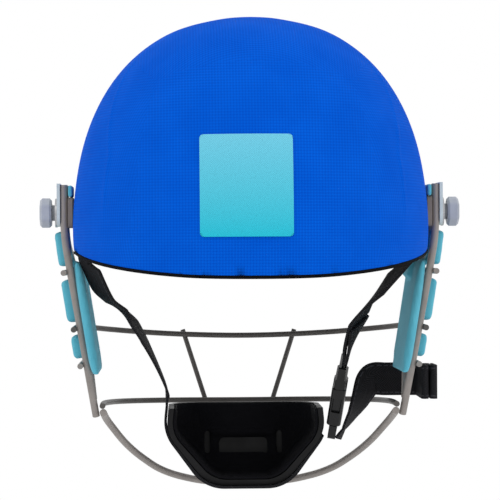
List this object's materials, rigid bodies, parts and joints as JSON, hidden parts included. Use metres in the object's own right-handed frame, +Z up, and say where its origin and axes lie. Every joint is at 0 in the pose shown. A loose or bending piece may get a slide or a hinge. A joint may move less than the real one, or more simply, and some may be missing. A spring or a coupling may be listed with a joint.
{
  "type": "cricket helmet",
  "caption": "Cloth-covered cricket helmet with a peak, a welded wire face guard clamped by thumb knobs, foam side pads and a buckled chin strap with a cup.",
  "frame": {"origin": "middle of the head opening at the ear rim, straight below the face guard's knob axis", "axes": "+Z up towards the crown, the face looks along -Y, +X is the wearer's left"},
  "size_m": [0.243, 0.2972, 0.2831],
  "materials": {
    "cover_cloth": "finely woven bright blue cloth",
    "dark_cloth": "dark woven lining",
    "badge_cloth": "woven cyan cloth, paler at the top",
    "binding_tape": "black woven tape",
    "shell_plastic": "moulded plastic",
    "liner_foam": "rigid expanded foam",
    "comfort_cloth": "cloth over soft foam",
    "pad_cloth": "soft cyan foam with a fine cloth face",
    "webbing": "black woven polyester webbing",
    "buckle_plastic": "moulded black plastic",
    "cup_plastic": "moulded black plastic",
    "cup_cloth": "black cloth over foam",
    "spacer_plastic": "grey-brown moulded plastic",
    "wire_steel": "warm grey coated steel wire",
    "steel": "plated steel",
    "rivet_metal": "dark plated steel",
    "brass": "turned brass",
    "knob_metal": "plated steel",
    "knob_plastic": "light grey moulded plastic"
  },
  "bodies": {
    "helmet": {"outer_shell": "shell_plastic", "fabric_cover": "cover_cloth", "rim_binding": "binding_tape", "peak_core": "shell_plastic", "peak_cover": "cover_cloth", "peak_lining": "dark_cloth", "rear_badge": "badge_cloth", "impact_liner": "liner_foam", "crown_pad": "comfort_cloth", "brow_pad": "comfort_cloth", "nape_pad": "comfort_cloth", "chin_cup": "cup_plastic", "cup_lining": "cup_cloth", "cup_webbing": "webbing", "strap_tail": "webbing", "female_buckle": "buckle_plastic", "side_comfort_left": "comfort_cloth", "side_comfort_right": "comfort_cloth", "mounting_nut_left": "brass", "mounting_nut_right": "brass", "strap_rivet_left": "rivet_metal", "strap_rivet_right": "rivet_metal", "spacer_left": "spacer_plastic", "spacer_right": "spacer_plastic", "temple_pad_left": "pad_cloth", "temple_pad_right": "pad_cloth", "strap_left": "webbing", "strap_right": "webbing"},
    "grille_pivot": {"clamp_washer_left": "steel", "clamp_washer_right": "steel"},
    "grille": {"top_bar": "wire_steel", "low_bar": "wire_steel", "chin_bar": "wire_steel", "tail_bundle": "webbing", "strut_left": "wire_steel", "strut_right": "wire_steel", "rear_upright_left": "wire_steel", "rear_upright_right": "wire_steel", "front_upright_left": "wire_steel", "front_upright_right": "wire_steel", "side_bar_upper_left": "wire_steel", "side_bar_upper_right": "wire_steel", "side_bar_lower_left": "wire_steel", "side_bar_lower_right": "wire_steel", "mount_plate_left": "wire_steel", "mount_plate_right": "wire_steel", "side_pad_left": "pad_cloth", "side_pad_right": "pad_cloth"},
    "collar_left": {"collar_left": "knob_metal"},
    "collar_right": {"collar_right": "knob_metal"},
    "knob_left": {"thumb_knob_left": "knob_plastic", "thumb_screw_left": "steel"},
    "knob_right": {"thumb_knob_right": "knob_plastic", "thumb_screw_right": "steel"},
    "clip": {"male_clip": "buckle_plastic"}
  },
  "joints": [
    {"name": "grille_tilt", "type": "hinge", "parent": "helmet", "child": "grille_pivot", "pos_m": [0, 0, 0.022], "axis": [-1, 0, 0], "range_deg": [-3, 8], "deforming": ["strap_tail"]},
    {"name": "grille_slide", "type": "slide", "parent": "grille_pivot", "child": "grille", "axis": [0, 0, 1], "range_m": [-0.005, 0]},
    {"name": "knob_turn_left", "type": "hinge", "parent": "collar_left", "child": "knob_left", "pos_m": [0, 0, 0.022], "axis": [1, 0, 0], "range_deg": [0, 1440]},
    {"name": "knob_travel_left", "type": "slide", "parent": "helmet", "child": "collar_left", "axis": [1, 0, 0], "range_m": [0, 0.005]},
    {"name": "knob_turn_right", "type": "hinge", "parent": "collar_right", "child": "knob_right", "pos_m": [0, 0, 0.022], "axis": [-1, 0, 0], "range_deg": [0, 1440]},
    {"name": "knob_travel_right", "type": "slide", "parent": "helmet", "child": "collar_right", "axis": [-1, 0, 0], "range_m": [0, 0.005]},
    {"name": "clip_release", "type": "slide", "parent": "helmet", "child": "clip", "axis": [-0.1277, 0.3404, 0.9316], "range_m": [0, 0.022], "deforming": ["strap_right"]}
  ],
  "couplings": [
    {"joint": "knob_turn_left", "follows": "knob_travel_left", "rad_per_m": 5026.5},
    {"joint": "knob_turn_right", "follows": "knob_travel_right", "rad_per_m": 5026.5}
  ]
}
